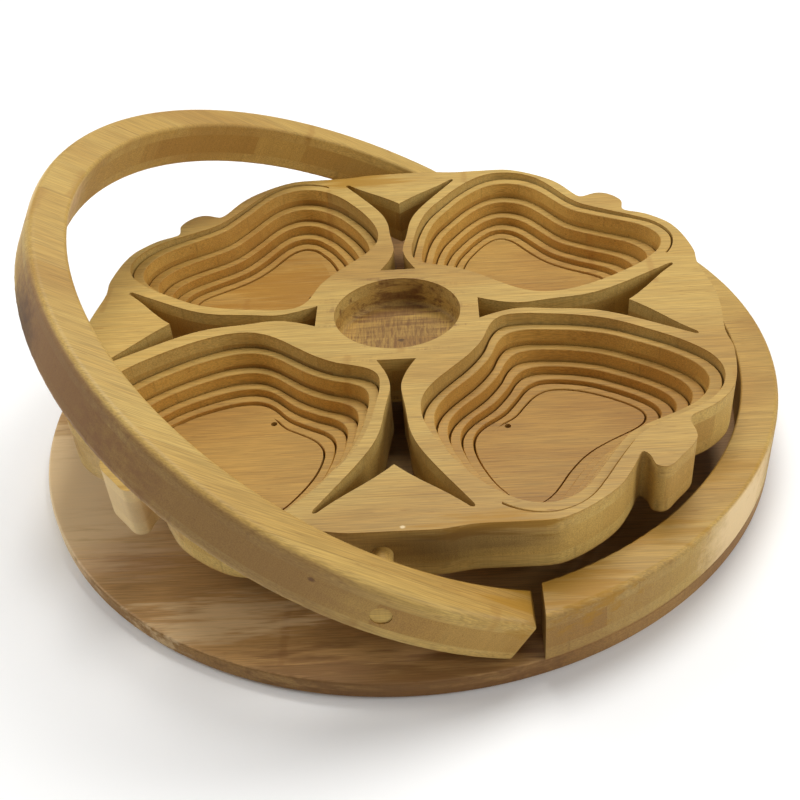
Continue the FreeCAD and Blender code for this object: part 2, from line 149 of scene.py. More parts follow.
def vector_calc(tree, operation, *values):
    """A Vector Math node's result."""
    made = add_node(tree, "ShaderNodeVectorMath", dict(enumerate(values)), operation=operation)
    return made.outputs["Value" if operation in ("DOT_PRODUCT", "LENGTH") else "Vector"]


def vector_of(tree, *values):
    """A vector from up to three values, with 0 for those that are left out."""
    return add_node(tree, "ShaderNodeCombineXYZ", dict(enumerate(values))).outputs[0]


def parts_of(tree, vector):
    """A vector's three values."""
    return add_node(tree, "ShaderNodeSeparateXYZ", {0: vector}).outputs


def in_mm(tree, place):
    """A place in metres, turned into millimetres."""
    return vector_calc(tree, "MULTIPLY", place, (1 / MM, 1 / MM, 1 / MM))


def ramp(tree, value, low, high, to_low=0.0, to_high=1.0):
    """A value turned smoothly from to_low at low to to_high at high, and held beyond."""
    return add_node(tree, "ShaderNodeMapRange", {
        "Value": value, "From Min": low, "From Max": high, "To Min": to_low, "To Max": to_high,
    }, interpolation_type="SMOOTHSTEP").outputs["Result"]


def fade(tree, value, low, high):
    """1 up to low, turned smoothly to 0 at high."""
    return ramp(tree, value, low, high, 1.0, 0.0)


def times(tree, a, b):
    """a times b."""
    return calc(tree, "MULTIPLY", a, b)


def rest_of(tree, share):
    """1 - share."""
    return calc(tree, "SUBTRACT", 1.0, share)


def partly(tree, factor, share):
    """A factor that works by a share only: factor share + (1 - share)."""
    return calc(tree, "ADD", times(tree, factor, share), rest_of(tree, share))


def mix(tree, share, a, b, mode="MIX"):
    """Colour a, and colour b laid over it by a share."""
    made = add_node(tree, "ShaderNodeMix", data_type="RGBA", blend_type=mode)
    for socket, value in ((made.inputs[0], share), (made.inputs[6], a), (made.inputs[7], b)):
        set_input(tree, socket, value)
    return made.outputs[2]


def mix_vector(tree, share, a, b):
    """Vector a turned into vector b by a share."""
    made = add_node(tree, "ShaderNodeMix", data_type="VECTOR")
    for socket, value in ((made.inputs[0], share), (made.inputs[4], a), (made.inputs[5], b)):
        set_input(tree, socket, value)
    return made.outputs[1]


def tinted(tree, colour, tint):
    """A colour times a tint."""
    return mix(tree, 1.0, colour, tint, "MULTIPLY")


def shaded(tree, colour, factor):
    """A colour made lighter or darker by a factor."""
    grey = add_node(tree, "ShaderNodeCombineColor", {0: factor, 1: factor, 2: factor}).outputs[0]
    return tinted(tree, colour, grey)


def noise(tree, place, grains, detail, roughness):
    """Noise with this many grains per unit of length on each axis."""
    vector = vector_calc(tree, "MULTIPLY", place, grains)
    return add_node(tree, "ShaderNodeTexNoise", {
        "Vector": vector, "Scale": 1.0, "Detail": detail, "Roughness": roughness}).outputs[0]


def random_of(tree, *numbers):
    """A random share for a set of up to three numbers."""
    return add_node(tree, "ShaderNodeTexWhiteNoise", {"Vector": vector_of(tree, *numbers)},
                    noise_dimensions="3D").outputs["Value"]


def new_group(name, inputs, outputs):
    """An empty shader node group, and its inner input and output sockets. An input is a name, a kind
    and, where it may be left out, its value then."""
    group = bpy.data.node_groups.new(name, "ShaderNodeTree")
    for label, kind, *default in inputs:
        socket = group.interface.new_socket(name=label, in_out="INPUT", socket_type=kind)
        if default:
            socket.default_value = default[0]
    for label, kind in outputs:
        group.interface.new_socket(name=label, in_out="OUTPUT", socket_type=kind)
    given = group.nodes.new("NodeGroupInput").outputs
    result = group.nodes.new("NodeGroupOutput").inputs
    return group, given, result


FLOAT, COLOR, VECTOR = "NodeSocketFloat", "NodeSocketColor", "NodeSocketVector"


# --- Bamboo --------------------------------------------------------------------------------

# Each noise's grains per millimetre along X, Y and Z, its detail and its roughness. For fibres,
# bands and flecks, X is along a fibre.
FIBRE_NOISE = ((0.07, 2.6, 2.6), 3.0, 0.6)
BAND_NOISE = ((0.018, 0.42, 0.42), 3.0, 0.6)
FLECK_NOISE = ((0.11, 0.9, 0.9), 2.0, 0.6)
CLOUD_NOISE = ((0.011, 0.028, 0.028), 2.0, 0.5)
CROSS_WANDER_NOISE = ((0.012, 0.03, 0.03), 1.0, 0.5)
KNUCKLE_NOISE = ((0.3, 0.25, 0.25), 1.0, 0.5)
SAW_TICK_NOISE = ((1.1, 1.1, 0.045), 3.0, 0.65)
SAW_BAND_NOISE = ((0.16, 0.16, 0.03), 2.0, 0.5)
WORN_NOISE = ((0.55, 0.55, 0.4), 3.0, 0.7)
STREAK_NOISE = ((0.03, 0.3, 0.3), 3.0, 0.65)
STROKE_NOISE = ((0.95, 0.13, 0.5), 3.0, 0.7)

# Where the middle ply starts and ends, in shares of the board's thickness
PLY_START = (0.255, 0.275)
PLY_END = (0.725, 0.745)

# Strips and cross strips, in millimetres except for shares of a strip
UPPER_STAGGER = 0.43  # strips
UPPER_SEED = 7.0
CROSS_WIDTH = 23.0
CROSS_LENGTH = 70.0
CROSS_WANDER = 0.2  # strips
FIBRE_SHIFT = 400.0  # at most, from strip to strip
KNUCKLE_SHIFT = 900.0  # at most, from strip to strip
KNUCKLE_HALF_SPACING = 115.0
KNUCKLE_SLACK = 3.0

# Where a mark fades, in millimetres from its middle or from the board's face
KNUCKLE_FADE = (0.4, 2.2)
HALO_FADE = (1.5, 9.0)
GLUE_FADE = (0.05, 0.32)
WORN_FADE = (-1.1, 0.1)
WORN_REACH = 2.2

# Where a noise or a random tone starts and stops counting
BAND_RANGE = (0.35, 0.72)
CLOUD_RANGE = (0.44, 0.72)
CROSS_RANGE = (0.2, 1.0)
FIBRE_RANGE = (0.3, 0.7)
SAW_TICK_RANGE = (0.3, 0.72)
SAW_BAND_RANGE = (0.3, 0.7)
FLECK_RANGE = (0.64, 0.74)
STREAK_RANGE = (0.25, 0.75)
STROKE_RANGE = (0.42, 0.62)
STAIN_AND_PAINTED_LIGHT_FADE = (0.3, 1.1)  # shares of a patch's radius, for marks on the wood and painted light and shade alike
WALL_FADE = (0.45, 0.85)  # upright share of the normal

# How strongly each mark tints the wood, or the factors between which it shades it
STRIP_CONTRAST = 0.75
BAND_STRENGTH = 0.55
CLOUD_STRENGTH = 0.5
CROSS_STRENGTH = 0.6
KNUCKLE_STRENGTH = 0.4
HALO_STRENGTH = 0.16
GLUE_STRENGTH = 0.14
WORN_STRENGTH = 0.5
STAIN_AND_PAINTED_LIGHT_STRENGTH = 0.8
FLECK_TINT = (0.62, 0.5, 0.38, 1.0)
FIBRE_SHADES = (0.76, 1.14)
SAW_TICK_SHADES = (0.78, 1.08)
SAW_BAND_SHADES = (0.9, 1.05)

# Heights of the marks, in shares of the relief
RELIEF = 0.22 * MM
RELIEF_STRENGTH = 0.6
FIBRE_HEIGHT = 0.35
KNUCKLE_HEIGHT = -0.3
GLUE_DEPTH = 0.25
SAW_HEIGHT = 1.2
WORN_DEPTH = 0.5

BARE_ROUGHNESS = 0.44
FIBRE_ROUGHNESS = 0.16
WALL_ROUGHNESS = 0.18
SPECULAR = 0.35


def lay_plies(t, given, place, level):
    """The middle ply's mask, the count of strips across the outer plies, a random tone for each
    strip, and one for each cross strip of the middle ply."""
    x, y, _ = parts_of(t, place)
    middle = times(t, ramp(t, level, *PLY_START), fade(t, level, *PLY_END))
    middle = times(t, middle, given["Middle Ply"])
    upper = calc(t, "GREATER_THAN", level, 0.5)
    stagger = calc(t, "ADD", times(t, upper, UPPER_STAGGER), given["Seed"])
    across = calc(t, "ADD", calc(t, "DIVIDE", y, given["Strip Width"]), stagger)
    strip_tone = random_of(t, calc(t, "FLOOR", across), times(t, upper, UPPER_SEED), given["Seed"])

    wander = times(t, noise(t, place, *CROSS_WANDER_NOISE), CROSS_WANDER)
    cross = calc(t, "FLOOR", calc(t, "ADD", calc(t, "DIVIDE", x, CROSS_WIDTH), wander))
    cross_end = calc(t, "FLOOR", calc(t, "DIVIDE", y, CROSS_LENGTH))
    cross_tone = random_of(t, cross, cross_end, given["Seed"])
    return middle, across, strip_tone, cross_tone


def along_fibres(t, place, middle, strip_tone):
    """The place with its X along the fibres, which run along X in the outer plies and along Y in the
    middle one, shifted from strip to strip."""
    x, y, z = parts_of(t, place)
    turned = mix_vector(t, middle, place, vector_of(t, y, x, z))
    return vector_calc(t, "ADD", turned, vector_of(t, times(t, strip_tone, FIBRE_SHIFT)))


def knuckle_distance(t, place, strip_tone):
    """Millimetres to a strip's nearest knuckle, which crosses it."""
    slack = times(t, noise(t, place, *KNUCKLE_NOISE), KNUCKLE_SLACK)
    travel = calc(t, "ADD", parts_of(t, place)[0], slack)
    travel = calc(t, "ADD", travel, times(t, strip_tone, KNUCKLE_SHIFT))
    return calc(t, "PINGPONG", travel, KNUCKLE_HALF_SPACING)


def worn_edge(t, given, place, level, wall):
    """A fuzzy mask along a wall's edges, where it meets a face."""
    nearest = calc(t, "MINIMUM", level, rest_of(t, level))
    depth = times(t, nearest, given["Thickness"])
    fuzz = times(t, noise(t, place, *WORN_NOISE), -WORN_REACH)
    return times(t, fade(t, calc(t, "ADD", depth, fuzz), *WORN_FADE), wall)


def make_bamboo():
    """Three-ply bamboo board: strips side by side along X in the outer plies, cross strips in the
    middle ply, long fibres, knuckles, glue lines, saw marks on the walls, flecks drawn out along the
    fibres, and worn wall edges."""
    group, given, result = new_group("bamboo_board", (
        ("Place", VECTOR), ("Up", FLOAT), ("Thickness", FLOAT), ("Strip Width", FLOAT),
        ("Seed", FLOAT), ("Middle Ply", FLOAT), ("Saw Marks", FLOAT), ("Flecks", FLOAT),
        ("Pale", COLOR), ("Tan", COLOR), ("Caramel", COLOR),
    ), (("Color", COLOR), ("Roughness", FLOAT), ("Height", FLOAT), ("Wall", FLOAT)))
    t = group
    pale, tan, caramel = given["Pale"], given["Tan"], given["Caramel"]
    place = in_mm(t, given["Place"])
    level = calc(t, "DIVIDE", parts_of(t, place)[2], given["Thickness"])
    wall = fade(t, calc(t, "ABSOLUTE", given["Up"]), *WALL_FADE)
    middle, across, strip_tone, cross_tone = lay_plies(t, given, place, level)
    outer = rest_of(t, middle)

    along = along_fibres(t, place, middle, strip_tone)
    fibres = noise(t, along, *FIBRE_NOISE)
    bands = noise(t, along, *BAND_NOISE)
    flecks = times(t, ramp(t, noise(t, along, *FLECK_NOISE), *FLECK_RANGE), given["Flecks"])
    clouds = noise(t, place, *CLOUD_NOISE)
    saw_ticks = noise(t, place, *SAW_TICK_NOISE)
    saw_bands = noise(t, place, *SAW_BAND_NOISE)
    sawn = times(t, wall, given["Saw Marks"])
    knuckle_at = knuckle_distance(t, place, strip_tone)
    knuckle = times(t, fade(t, knuckle_at, *KNUCKLE_FADE), outer)
    halo = times(t, fade(t, knuckle_at, *HALO_FADE), outer)
    glue_at = times(t, calc(t, "PINGPONG", across, 0.5), given["Strip Width"])
    glue = times(t, fade(t, glue_at, *GLUE_FADE), outer)
    worn = worn_edge(t, given, place, level, wall)

    body = mix(t, times(t, strip_tone, STRIP_CONTRAST), pale, tan)
    body = mix(t, ramp(t, bands, *BAND_RANGE, 0.0, BAND_STRENGTH), body, tan)
    body = mix(t, ramp(t, clouds, *CLOUD_RANGE, 0.0, CLOUD_STRENGTH), body, caramel)
    core = mix(t, ramp(t, cross_tone, *CROSS_RANGE, 0.0, CROSS_STRENGTH), tan, caramel)
    body = mix(t, middle, body, core)
    body = shaded(t, body, ramp(t, fibres, *FIBRE_RANGE, *FIBRE_SHADES))
    body = mix(t, times(t, knuckle, KNUCKLE_STRENGTH), body, caramel)
    body = mix(t, times(t, halo, HALO_STRENGTH), body, tan)
    body = shaded(t, body, rest_of(t, times(t, glue, GLUE_STRENGTH)))
    saw_shade = times(t, ramp(t, saw_ticks, *SAW_TICK_RANGE, *SAW_TICK_SHADES),
                      ramp(t, saw_bands, *SAW_BAND_RANGE, *SAW_BAND_SHADES))
    body = shaded(t, body, partly(t, saw_shade, sawn))
    body = mix(t, flecks, body, tinted(t, body, FLECK_TINT))
    body = mix(t, times(t, worn, WORN_STRENGTH), body, caramel)

    height = calc(t, "ADD", times(t, fibres, FIBRE_HEIGHT), times(t, knuckle, KNUCKLE_HEIGHT))
    height = calc(t, "SUBTRACT", height, times(t, glue, GLUE_DEPTH))
    height = calc(t, "ADD", height, times(t, times(t, saw_ticks, sawn), SAW_HEIGHT))
    height = calc(t, "SUBTRACT", height, times(t, worn, WORN_DEPTH))
    rough = calc(t, "ADD", BARE_ROUGHNESS, times(t, fibres, FIBRE_ROUGHNESS))
    rough = calc(t, "ADD", rough, times(t, wall, WALL_ROUGHNESS))
    for name, value in (("Color", body), ("Roughness", rough), ("Height", height), ("Wall", wall)):
        t.links.new(value, result[name])
    return group


def make_stain_and_painted_light():
    """A soft-edged patch round a point, drawn out along X and broken up by the grain, used both for
    marks on the wood and for painted light and shade. Strokes, from 0 to 1, leaves only strokes along
    Y, as where the cross ply shows through."""
    group, given, result = new_group("stain_and_painted_light", (
        ("Place", VECTOR), ("Centre", VECTOR), ("Radius", FLOAT), ("Stretch", FLOAT),
        ("Strokes", FLOAT, 0.0), ("Raggedness", FLOAT, 0.6),
    ), (("Share", FLOAT),))
    t = group
    place = in_mm(t, given["Place"])
    x, y, z = parts_of(t, vector_calc(t, "SUBTRACT", place, given["Centre"]))
    squeezed = vector_of(t, calc(t, "DIVIDE", x, given["Stretch"]), y, z)
    reach = calc(t, "DIVIDE", vector_calc(t, "LENGTH", squeezed), given["Radius"])
    streaks = ramp(t, noise(t, place, *STREAK_NOISE), *STREAK_RANGE, -1.0, 1.0)
    reach = calc(t, "ADD", reach, times(t, streaks, given["Raggedness"]))
    strokes = ramp(t, noise(t, place, *STROKE_NOISE), *STROKE_RANGE)
    share = times(t, fade(t, reach, *STAIN_AND_PAINTED_LIGHT_FADE), partly(t, strokes, given["Strokes"]))
    t.links.new(share, result["Share"])
    return group


bamboo = make_bamboo()
stain_and_painted_light = make_stain_and_painted_light()


# --- Materials -----------------------------------------------------------------------------

def linear(red, green, blue):
    """A display colour, 0 to 255, as the renderer's linear colour."""
    channels = (red / 255, green / 255, blue / 255)
    return tuple(c / 12.92 if c <= 0.04045 else ((c + 0.055) / 1.055) ** 2.4
                 for c in channels) + (1.0,)


PALE = linear(192, 160, 88)
TAN = linear(178, 141, 69)
CARAMEL = linear(151, 107, 43)
BASE_TONES = (linear(192, 153, 96), linear(172, 130, 75), linear(132, 90, 47))
TOAST = linear(160, 114, 16)
# A dark brown for the dip cup's dark wood, and for painted shade
CHAR_AND_PAINTED_SHADE = linear(110, 72, 34)
# A near black for small marks, and for painted shade
DARK_MARK_AND_PAINTED_SHADE = linear(70, 44, 22)
# A brown for painted shade
PAINTED_SHADE_UMBER = linear(122, 80, 50)
FILLER = linear(228, 206, 160)
# A pale tone for painted light: pools of light and highlights
PAINTED_LIGHT_CREAM = linear(236, 208, 160)
ROSY = linear(150, 98, 66)

# Painted light and shade: factors on a board's walls, which make them lighter or darker than its
# faces, and painted shade on the wood that is down in a bowl, which makes it darker and warmer
PAINTED_WALL_LIGHT = (1.15, 1.2, 1.3, 1.0)
BASE_PAINTED_WALL_SHADE = (0.72, 0.68, 0.58, 1.0)
RIM_PAINTED_WALL_LIGHT = (0.97, 1.0, 1.05, 1.0)
STRIP_PAINTED_WALL_LIGHT = (1.3, 1.25, 1.1, 1.0)
BOWL_PAINTED_SHADE = (0.9, 0.8, 0.64, 1.0)

# Stains, pale patches and small marks, and patches of painted light and shade, each a centre and a
# radius in the board's millimetres, the stretch along X, the tint and the strength, and more
# settings where a patch has its own
# Settings for patches on the walls only; each such patch is painted light and shade
ON_WALL = {"walls_only": True, "Raggedness": 0.12}
BASE_STAINS_AND_PAINTED_LIGHT = (
    # Painted light: a pool of light on the base's left, outside the handle's shadow
    ((-132, -50, 8), 58, 1.3, PAINTED_LIGHT_CREAM, 1.0, {"Raggedness": 0.25}),
    ((-104, -90, 8), 11, 2.2, ROSY, 0.3),
    # Painted light in a streak on the base's front left
    ((-62, -120, 8), 10, 4.0, PAINTED_LIGHT_CREAM, 0.6),
    # Painted shadow along the base's front, under the handle
    ((0, -152, 8), 22, 3.0, CHAR_AND_PAINTED_SHADE, 0.85),
)
RIM_STAINS_AND_PAINTED_LIGHT = (
    # Painted shade on the rim's front wall
    ((70, -140, 8), 40, 1.0, PAINTED_SHADE_UMBER, 0.35, ON_WALL),
    # Painted light on the rim's right wall
    ((122, -90, 12), 34, 1.0, PAINTED_LIGHT_CREAM, 0.9, ON_WALL),
    ((58, -131, 20.5), 13, 1.7, TOAST, 0.95),
    ((86, -108, 20.5), 9, 2.2, TOAST, 0.7),
    ((114, -79, 20.5), 8, 2.0, TOAST, 0.5),
)
HANDLE_STAINS_AND_PAINTED_LIGHT = (
    ((46, -136, 20.5), 9, 1.6, TOAST, 0.8),
    ((-24, -147.4, 13.5), 1.3, 1.0, DARK_MARK_AND_PAINTED_SHADE, 1.0),
    # Painted highlight on the handle's left outer wall
    ((-146, -8, 6), 30, 1.0, PAINTED_LIGHT_CREAM, 0.9, ON_WALL),
    # Painted shade on the handle's outer walls, at the front left and at the front
    ((-122, -98, 8), 64, 1.0, PAINTED_SHADE_UMBER, 0.95, ON_WALL),
    ((-55, -142, 8), 55, 1.4, PAINTED_SHADE_UMBER, 0.7, ON_WALL),
    # Painted shade low on the handle's left outer wall
    ((-131, -66, -3), 22, 1.0, DARK_MARK_AND_PAINTED_SHADE, 0.9, ON_WALL),
)
TRAY_STAINS_AND_PAINTED_LIGHT = (
    ((-20, 119, 20.5), 9, 3.0, TOAST, 0.9),
    ((32, -124, 20.5), 7, 4.0, TOAST, 0.95),
    ((-75, -98, 20.5), 7, 3.0, TOAST, 0.5),
    # Painted shade on the tray's front wall, by the gap in the handle
    ((20, -126, 13), 10, 4.5, DARK_MARK_AND_PAINTED_SHADE, 0.75, ON_WALL),
    # Painted light on the tray's front left wall
    ((-96, -92, 8), 34, 1.0, PAINTED_LIGHT_CREAM, 0.7, ON_WALL),
    # In the dip cup
    ((0, 0, 4.0), 27, 1.0, CHAR_AND_PAINTED_SHADE, 0.35),
    ((0, 0, 4.0), 30, 1.0, CHAR_AND_PAINTED_SHADE, 0.9, {"Strokes": 1.0}),
    # Painted shade on the cup's back wall
    ((0, 24, 2.0), 17, 1.5, CHAR_AND_PAINTED_SHADE, 0.9),
    ((1.0, -2.0, 8.0), 1.5, 1.0, DARK_MARK_AND_PAINTED_SHADE, 1.0),
    # A pale mark at the front edge
    ((3, -123, 20.5), 0.9, 1.0, FILLER, 1.0),
)
FLOOR_STAINS = (
    ((-52, 60, 20.5), 26, 1.6, TOAST, 0.7),
)


def place_in_board(t, coordinates, low, thickness, tilt):
    """The place in a board that lies flat with its underside at 0. A tilted board is turned back
    about the handle's pivot, which is at half its thickness."""
    turn = Matrix.Rotation(-tilt, 3, "Y")
    shift = Vector((0, 0, thickness / 2)) - turn @ PIVOT if tilt else Vector((0, 0, -low))
    return add_node(t, "ShaderNodeMapping", {
        "Vector": coordinates["Object"], "Location": shift, "Rotation": (0, -tilt, 0),
    }).outputs[0]


def add_stains_and_painted_light(t, colour, place, wall, stains_and_painted_light):
    """A colour with a board's patches laid over it, both marks on the wood and painted light and
    shade.
    """
    for centre, radius, stretch, tint, strength, *more in stains_and_painted_light:
        settings = {"Place": place, "Centre": centre, "Radius": radius, "Stretch": stretch}
        settings |= dict(*more)
        walls_only = settings.pop("walls_only", False)
        patch = add_node(t, "ShaderNodeGroup", settings, node_tree=stain_and_painted_light)
        share = times(t, patch.outputs["Share"], strength)
        if walls_only:
            share = times(t, share, wall)
        colour = mix(t, share, colour, mix(t, STAIN_AND_PAINTED_LIGHT_STRENGTH, colour, tint))
    return colour


def board_material(name, low=0.0, thickness=BOARD, strip_width=19.0, seed=0.0, middle=1.0,
                   tones=(PALE, TAN, CARAMEL), tilt=0.0, stains_and_painted_light=(), place_from=None, sunk=0.0,
                   saw=0.3, flecks=0.5, painted_wall_factor=PAINTED_WALL_LIGHT):
    """Bamboo for one piece.

    low is the height of the board's underside, and tilt is the board's turn about the handle's
    pivot. place_from names an attribute that holds each point's place in the flat board instead.
    strip_width is in millimetres, seed sets the strips' order, and middle is 1 where the board has
    a cross ply and 0 where it has none. tones are the pale, tan and caramel colours. saw and flecks,
    0 to 1, are the strengths of the saw marks and the flecks, and painted_wall_factor is a factor on
    the walls' colour that paints light and shade on them. stains_and_painted_light is a table of
    patches: marks on the wood, and painted light and shade. sunk, a share or the name of an
    attribute, says how far the wood is down in a bowl, where painted shade makes it darker and
    warmer."""
    material = bpy.data.materials.new(name)
    material.use_nodes = True
    t = material.node_tree
    shader = t.nodes["Principled BSDF"]
    coordinates = t.nodes.new("ShaderNodeTexCoord").outputs
    if place_from:
        place = add_node(t, "ShaderNodeAttribute", attribute_name=place_from).outputs["Vector"]
    else:
        place = place_in_board(t, coordinates, low, thickness, tilt)
    upright = (math.sin(tilt), 0.0, math.cos(tilt))
    pale, tan, caramel = tones
    wood = add_node(t, "ShaderNodeGroup", {
        "Place": place, "Up": vector_calc(t, "DOT_PRODUCT", coordinates["Normal"], upright),
        "Thickness": thickness / MM, "Strip Width": strip_width, "Seed": seed, "Middle Ply": middle,
        "Saw Marks": saw, "Flecks": flecks, "Pale": pale, "Tan": tan, "Caramel": caramel,
    }, node_tree=bamboo).outputs
    # Painted light and shade: the walls' colour times the wall factor, lighter or darker than the
    # faces
    colour = mix(t, wood["Wall"], wood["Color"], tinted(t, wood["Color"], painted_wall_factor))
    colour = add_stains_and_painted_light(t, colour, place, wood["Wall"], stains_and_painted_light)
    # Painted shade: darker and warmer the further the wood is down in a bowl
    if sunk:
        if isinstance(sunk, str):
            sunk = add_node(t, "ShaderNodeAttribute", attribute_name=sunk).outputs["Fac"]
        colour = mix(t, sunk, colour, tinted(t, colour, BOWL_PAINTED_SHADE))
    relief = add_node(t, "ShaderNodeBump", {
        "Height": wood["Height"], "Strength": RELIEF_STRENGTH, "Distance": RELIEF}).outputs[0]
    for key, value in (("Base Color", colour), ("Roughness", wood["Roughness"]), ("Normal", relief),
                       ("Specular IOR Level", SPECULAR)):
        set_input(t, shader.inputs[key], value)
    return material


def dress(node_name, material):
    """Gives a CAD node one material all over."""
    slots = frame["nodes"][node_name].data.materials
    slots.clear()
    slots.append(material)


base_material = board_material(
    "base_bamboo", low=0.0, thickness=base_high.z, strip_width=26.0, seed=3.0, middle=0.0,
    tones=BASE_TONES, painted_wall_factor=BASE_PAINTED_WALL_SHADE, stains_and_painted_light=BASE_STAINS_AND_PAINTED_LIGHT)
dress("fixed_rim", board_material(
    "rim_bamboo", low=rim_low.z, thickness=rim_high.z - rim_low.z, strip_width=20.0, seed=5.0,
    painted_wall_factor=RIM_PAINTED_WALL_LIGHT, stains_and_painted_light=RIM_STAINS_AND_PAINTED_LIGHT))
dress("handle", board_material(
    "handle_bamboo", strip_width=22.0, seed=8.0, tilt=HANDLE_TILT, stains_and_painted_light=HANDLE_STAINS_AND_PAINTED_LIGHT))
dress("apple_plate", board_material(
    "tray_bamboo", low=tray_low.z, strip_width=20.0, seed=11.0, stains_and_painted_light=TRAY_STAINS_AND_PAINTED_LIGHT))
dress("front_dowel", board_material(
    "dowel_wood", low=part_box("front_dowel")[0].z, thickness=DOWEL_THICKNESS, strip_width=40.0,
    seed=2.0, middle=0.0))
dress("back_dowel", frame["nodes"]["front_dowel"].data.materials[0])

# The strips and the floors are cut from the tray's own board, so they share its strips and seed
# Both get painted shade, darker and warmer, as far as the wood is down in a bowl: the strips by their
# sunk attribute, the floors all over. The strips' walls get painted light too
strip_material = board_material(
    "strip_bamboo", strip_width=20.0, seed=11.0, place_from="board_place", sunk="sunk", saw=0.15,
    flecks=0.7, painted_wall_factor=STRIP_PAINTED_WALL_LIGHT)
floor_material = board_material(
    "floor_bamboo", low=floor_low.z, strip_width=20.0, seed=11.0, sunk=1.0, stains_and_painted_light=FLOOR_STAINS)


# --- Base board ----------------------------------------------------------------------------

def add_piece(name, mesh):
    """A mesh as an object in the scene."""
    piece = bpy.data.objects.new(name, mesh)
    bpy.context.scene.collection.objects.link(piece)
    return piece


def sweep_grid(points):
    """Faces that join a grid of rows, rows x columns x 3, into a closed tube with capped ends."""
    rows, columns = points.shape[:2]
    at = np.arange(rows * columns).reshape(rows, columns)
    next_at = np.roll(at, -1, axis=1)
    quads = np.stack((at[:-1], next_at[:-1], next_at[1:], at[1:]), -1).reshape(-1, 4)
    return quads.tolist() + [at[0][::-1].tolist(), at[-1].tolist()]


def make_base():
    """The base board, lathed. With a from 0 to a quarter turn and r a round's radius, the lower
    corner is r (sin a, 1 - cos a) out and up from the end of the flat underside, and the upper one
    is r (cos a, sin a) from the round's centre."""
    quarter = np.linspace(0, math.pi / 2, ROUND_POINTS)
    reach, height = -base_low.x, base_high.z
    low, high = BASE_ROUND_LOW, BASE_ROUND_HIGH
    lower = np.column_stack((reach - low + low * np.sin(quarter), low - low * np.cos(quarter)))
    upper = np.column_stack((reach - high + high * np.cos(quarter),
                             height - high + high * np.sin(quarter)))
    outline = np.concatenate((((reach - low - BASE_FACE_INSET, 0),), lower, upper,
                              ((reach - high - BASE_FACE_INSET, height),)))
    turn = np.arange(BASE_SIDES) * 2 * math.pi / BASE_SIDES
    points = np.stack((outline[:, :1] * np.cos(turn), outline[:, :1] * np.sin(turn),
                       np.repeat(outline[:, 1:], BASE_SIDES, axis=1)), -1)
    mesh = bpy.data.meshes.new("base_disc")
    mesh.from_pydata(points.reshape(-1, 3).tolist(), [], sweep_grid(points))
    mesh.shade_smooth()
    mesh.set_sharp_from_angle(angle=SHARP_ANGLE)
    piece = add_piece("base_disc", mesh)
    mesh.materials.append(base_material)
    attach(piece, "base")
    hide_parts("base_board")


make_base()


# --- Bowls ---------------------------------------------------------------------------------

def on_loop(loop, turns):
    """Points on a closed Catmull-Rom curve through a loop's landmarks, at fractions of the way round:
    half of 2b + (c-a)f + (2a-5b+4c-d)f^2 + (3b-a-3c+d)f^3, where f runs from landmark b to c."""
    count = len(loop)
    place = (turns % 1) * count
    i = np.floor(place).astype(int)
    f = (place - i)[:, None]
    a, b, c, d = (loop[(i + k) % count] for k in (-1, 0, 1, 2))
    return 0.5 * (2 * b + (c - a) * f + (2 * a - 5 * b + 4 * c - d) * f ** 2
                  + (3 * b - a - 3 * c + d) * f ** 3)


def saw_cut(turns, offset=0.0):
    """The saw cut's line after so many turns: the outer loop mixed into the inner one in proportion
    to the turns, scaled to the tray, and moved to the inside of its direction by offset."""
    def line(at):
        share = (at / SPIRAL_TURNS)[:, None]
        loops = (1 - share) * on_loop(BOWL_OUTER, at) + share * on_loop(BOWL_INNER, at)
        return TRAY_REACH / 100 * loops
    direction = line(turns + DIRECTION_STEP) - line(turns - DIRECTION_STEP)
    direction /= np.linalg.norm(direction, axis=1)[:, None]
    inward = np.stack((-direction[:, 1], direction[:, 0]), 1)
    return line(turns) + inward * np.reshape(offset, (-1, 1))


def drop_share(turns):
    """How much of the whole drop the strip has made: 1 - (1 - turns/5)^2, steep at first and level
    at the floor."""
    return 1 - (1 - np.clip(turns / TURNS, 0, 1)) ** 2


def flat_strip(turns, degrees):
    """A strip's sections as they lie in the flat board, sections x corners x 3. A section is a
    rectangle with small bevels, between the saw cut and its next winding."""
    # Past the end of the saw cut the strip runs into the floor, so its inner side closes up
    closing = np.clip((turns + 1 - SPIRAL_TURNS) / CLOSING_TURNS, 0, 1)
    outer = saw_cut(turns, HALF_KERF)
    inner = saw_cut(turns + 1, -HALF_KERF + 2 * HALF_KERF * closing)
    toward = inner - outer
    toward /= np.linalg.norm(toward, axis=1)[:, None]
    b = np.full(len(turns), STRIP_BEVEL)
    c = b * (1 - closing)
    zero, top = np.zeros(len(turns)), np.full(len(turns), BOARD)
    section = ((outer, zero, b), (outer, b, zero), (inner, -c, zero), (inner, zero, c),
               (inner, zero, top - c), (inner, -c, top), (outer, b, top), (outer, zero, top - b))
    flat = np.stack([np.column_stack((side + toward * inset[:, None], z))
                     for side, inset, z in section], 1)
    angle = math.radians(degrees)
    spin = np.array(((math.cos(angle), math.sin(angle), 0),
                     (-math.sin(angle), math.cos(angle), 0),
                     (0, 0, 1)))
    return flat @ spin


